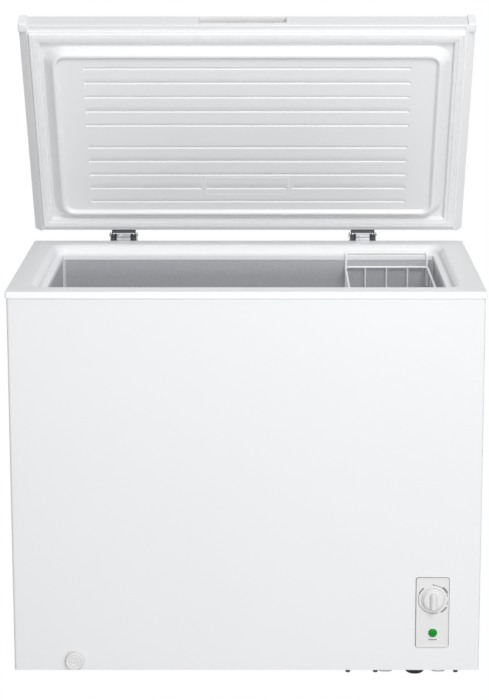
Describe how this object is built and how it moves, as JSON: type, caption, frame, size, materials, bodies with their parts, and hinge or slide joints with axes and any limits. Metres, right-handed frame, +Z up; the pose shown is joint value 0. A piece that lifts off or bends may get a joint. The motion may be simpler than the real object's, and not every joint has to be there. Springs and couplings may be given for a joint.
{
  "type": "chest freezer",
  "caption": "White chest freezer with a hinged lid standing open, embossed aluminium tub, sliding wire basket, thermostat dial, indicator lamp, drain and cooling unit.",
  "frame": {"origin": "on the floor, under the middle of the freezer's bounding box with the lid open at rest", "axes": "+Z up; +X to the right of a person facing the freezer; -Y points to that person, so the controls are on the -Y side"},
  "size_m": [0.945, 0.587, 1.3141],
  "materials": {
    "painted_steel": "smooth gloss white enamel",
    "galvanised_steel": "satin zinc coat",
    "zinc_steel": "satin zinc plate",
    "dark_steel": "satin dark coat",
    "spring_steel": "bright spring wire",
    "embossed_aluminium": "stucco embossed",
    "aluminium_tube": "drawn tube",
    "copper": "drawn copper tube",
    "black_enamel": "gloss black enamel",
    "frame_plastic": "white, fine satin",
    "white_plastic": "white, fine satin",
    "cap_plastic": "white, fine satin",
    "liner_plastic": "vacuum-formed white sheet",
    "gasket_vinyl": "soft pale grey vinyl",
    "black_plastic": "matt black",
    "rubber": "matt black rubber",
    "nylon": "matt grey nylon",
    "green_lens": "clear green lens",
    "wire_coating": "white coated wire",
    "foam": "rigid foamed-in insulation"
  },
  "bodies": {
    "cabinet": {"outer_wrapper": "painted_steel", "back_panel": "galvanised_steel", "base_panel": "galvanised_steel", "bay_wall": "galvanised_steel", "rear_bay_cover": "galvanised_steel", "hinge_bracket_left": "zinc_steel", "hinge_bracket_right": "zinc_steel", "hinge_pin_left": "zinc_steel", "hinge_pin_right": "zinc_steel", "compressor_tray": "dark_steel", "hinge_spring_left": "spring_steel", "hinge_spring_right": "spring_steel", "liner_front_wall": "embossed_aluminium", "liner_rear_wall": "embossed_aluminium", "liner_left_wall": "embossed_aluminium", "liner_right_wall": "embossed_aluminium", "liner_floor": "embossed_aluminium", "evaporator_coil": "aluminium_tube", "lower_evaporator_coil": "aluminium_tube", "condenser_coil": "copper", "suction_tube": "copper", "discharge_tube": "copper", "filter_drier": "copper", "compressor": "black_enamel", "top_frame": "frame_plastic", "side_vent_grille": "white_plastic", "control_bezel": "white_plastic", "drain_duct": "white_plastic", "starter_relay_box": "black_plastic", "cord_gland": "black_plastic", "thermostat_body": "black_plastic", "power_lamp_holder": "black_plastic", "foot_front_left": "rubber", "foot_front_right": "rubber", "foot_rear_left": "rubber", "foot_rear_right": "rubber", "power_lamp_lens": "green_lens", "insulation_foam": "foam"},
    "lid": {"lid_outer_panel": "painted_steel", "lid_front_rail": "painted_steel", "lid_end_cap_left": "cap_plastic", "lid_end_cap_right": "cap_plastic", "lid_liner": "liner_plastic", "lid_gasket": "gasket_vinyl", "lid_foam": "foam", "handle_pocket": "white_plastic", "hinge_leaf_left": "dark_steel", "hinge_leaf_right": "dark_steel"},
    "thermostat_dial": {"thermostat_knob": "white_plastic", "thermostat_shaft": "galvanised_steel"},
    "basket": {"basket_floor": "wire_coating", "basket_left_side": "wire_coating", "basket_right_side": "wire_coating", "basket_front_end": "wire_coating", "basket_rear_end": "wire_coating"},
    "drain_spout_body": {"drain_spout": "white_plastic"},
    "drain_cap_body": {"drain_cap": "white_plastic"},
    "inner_plug": {"inner_drain_plug": "rubber"},
    "left_plunger": {"hinge_plunger_left": "nylon"},
    "right_plunger": {"hinge_plunger_right": "nylon"}
  },
  "joints": [
    {"name": "lid_hinge", "type": "hinge", "parent": "cabinet", "child": "lid", "pos_m": [0, 0.262, 0.81], "axis": [-1, 0, 0], "range_deg": [-64, 16]},
    {"name": "left_plunger_slide", "type": "slide", "parent": "cabinet", "child": "left_plunger", "axis": [0, 0, 1], "range_m": [-0.0041, 0.0011], "deforming": ["hinge_spring_left"]},
    {"name": "right_plunger_slide", "type": "slide", "parent": "cabinet", "child": "right_plunger", "axis": [0, 0, 1], "range_m": [-0.0041, 0.0011], "deforming": ["hinge_spring_right"]},
    {"name": "thermostat_turn", "type": "hinge", "parent": "cabinet", "child": "thermostat_dial", "pos_m": [0.375, -0.2705, 0.1675], "axis": [0, 1, 0], "range_deg": [0, 300]},
    {"name": "basket_slide", "type": "slide", "parent": "cabinet", "child": "basket", "axis": [1, 0, 0], "range_m": [-0.6, 0.006]},
    {"name": "drain_pull", "type": "slide", "parent": "cabinet", "child": "drain_spout_body", "axis": [0, -1, 0], "range_m": [0, 0.025]},
    {"name": "drain_cap_turn", "type": "hinge", "parent": "drain_spout_body", "child": "drain_cap_body", "pos_m": [-0.3475, -0.2705, 0.038], "axis": [0, -1, 0], "range_deg": [0, 180]},
    {"name": "plug_lift", "type": "slide", "parent": "cabinet", "child": "inner_plug", "axis": [0, 0, 1], "range_m": [0, 0.03]}
  ],
  "couplings": [
    {"joint": "left_plunger_slide", "follows": "lid_hinge", "m_per_rad": 0.00358},
    {"joint": "right_plunger_slide", "follows": "lid_hinge", "m_per_rad": 0.00358}
  ]
}
